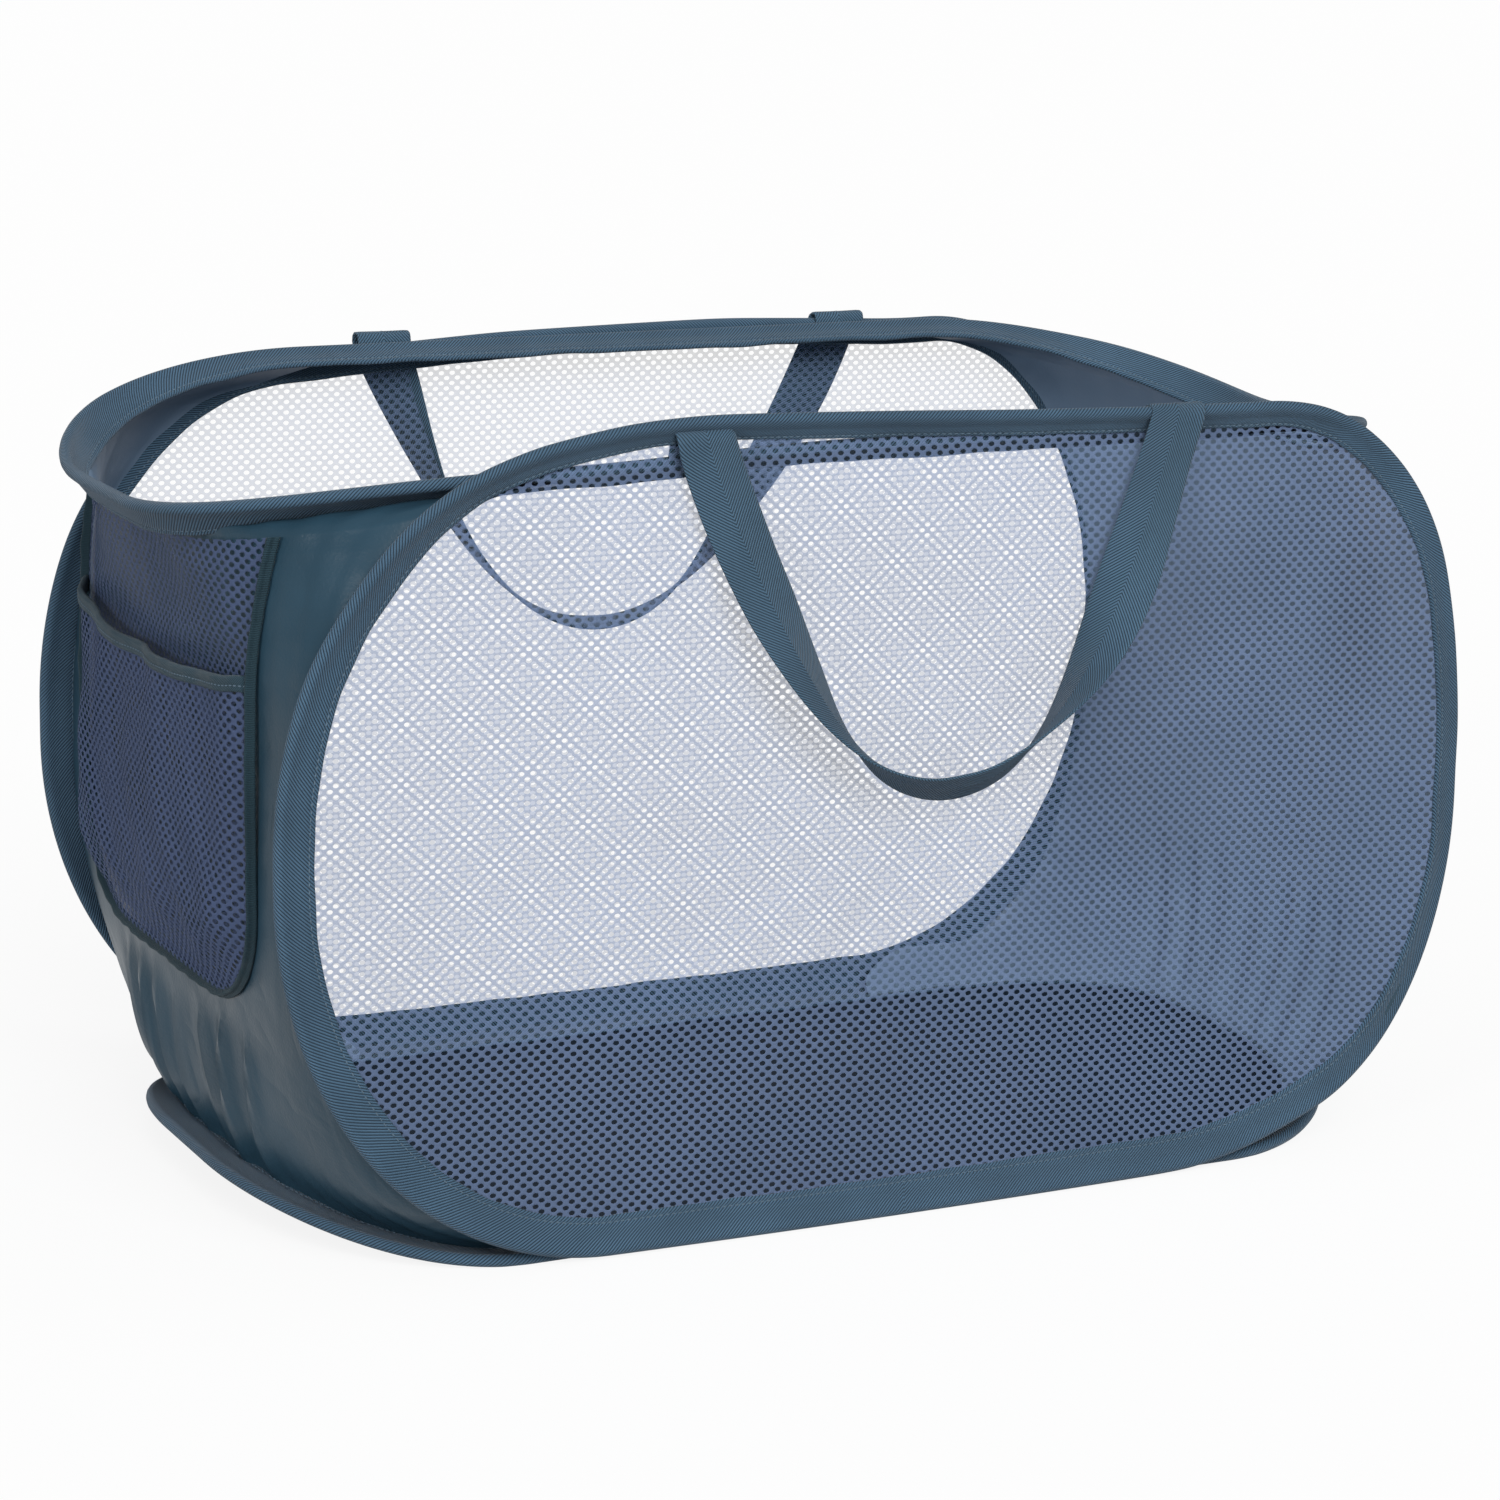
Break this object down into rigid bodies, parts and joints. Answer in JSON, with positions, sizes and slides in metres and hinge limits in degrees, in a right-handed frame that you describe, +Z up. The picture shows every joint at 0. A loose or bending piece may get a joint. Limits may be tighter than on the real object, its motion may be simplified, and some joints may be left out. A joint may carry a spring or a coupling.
{
  "type": "pop up laundry hamper",
  "caption": "Collapsible open-topped hamper: closed spring wire hoops in fabric tape carry net sides, cloth ends and floor, an outside net pocket and webbing handles.",
  "frame": {"origin": "middle of the overall box at floor level, under the middle of the hamper", "axes": "+X along the length, with the pocket on the -X end; +Y from the front net side to the back net side; +Z up"},
  "size_m": [0.6658, 0.3966, 0.3755],
  "materials": {
    "tape": "herringbone twill tape",
    "cloth": "satin coated cloth",
    "net": "knitted mesh",
    "piping": "folded binding",
    "webbing": "herringbone webbing",
    "steel": "drawn wire"
  },
  "bodies": {
    "base": {"base_hoop_wire": "steel", "base_hoop_crimp": "steel", "base_binding": "tape", "floor_cloth": "cloth"},
    "front_panel": {"front_hoop_wire": "steel", "front_hoop_crimp": "steel", "front_binding": "tape", "front_mesh": "net", "front_handle_left_end": "webbing", "front_handle_right_end": "webbing"},
    "back_panel": {"back_hoop_wire": "steel", "back_hoop_crimp": "steel", "back_binding": "tape", "back_mesh": "net", "back_handle_left_end": "webbing", "back_handle_right_end": "webbing"},
    "top_ring": {"top_hoop_wire": "steel", "top_hoop_crimp": "steel", "top_binding": "tape"},
    "end_walls": {"left_end_cloth": "cloth", "right_end_cloth": "cloth", "pocket_backing_mesh": "net", "pocket_front_mesh": "net", "pocket_mouth_binding": "piping", "pocket_edge_binding": "piping"},
    "front_handle": {"front_handle": "webbing"},
    "back_handle": {"back_handle": "webbing"}
  },
  "joints": [
    {"name": "fold", "type": "hinge", "parent": "base", "child": "front_panel", "pos_m": [0, -0.158, 0.00251], "axis": [-1, 0, 0], "range_deg": [0, 78], "stiffness_Nm_per_rad": 2, "springref_deg": -28.65, "deforming": ["left_end_cloth", "right_end_cloth", "pocket_backing_mesh", "pocket_front_mesh", "pocket_mouth_binding", "pocket_edge_binding"]},
    {"name": "back_fold", "type": "hinge", "parent": "base", "child": "back_panel", "pos_m": [0, 0.158, 0.00251], "axis": [-1, 0, 0], "range_deg": [0, 78]},
    {"name": "top_level", "type": "hinge", "parent": "front_panel", "child": "top_ring", "pos_m": [0, -0.158, 0.35751], "axis": [-1, 0, 0], "range_deg": [-78, 0]},
    {"name": "wall_shear", "type": "slide", "parent": "top_ring", "child": "end_walls", "axis": [0, -0.7771, 0.6293], "range_m": [0, 0.44682]},
    {"name": "front_handle_swing", "type": "hinge", "parent": "front_panel", "child": "front_handle", "pos_m": [0.018, -0.16185, 0.37486], "axis": [-1, 0, 0], "range_deg": [0, 175]},
    {"name": "back_handle_swing", "type": "hinge", "parent": "back_panel", "child": "back_handle", "pos_m": [0, 0.16185, 0.37486], "axis": [1, 0, 0], "range_deg": [0, 175]}
  ],
  "couplings": [
    {"joint": "back_fold", "follows": "fold", "ratio": 1},
    {"joint": "top_level", "follows": "fold", "ratio": -1},
    {"joint": "wall_shear", "follows": "fold", "m_per_rad": 0.32821}
  ]
}
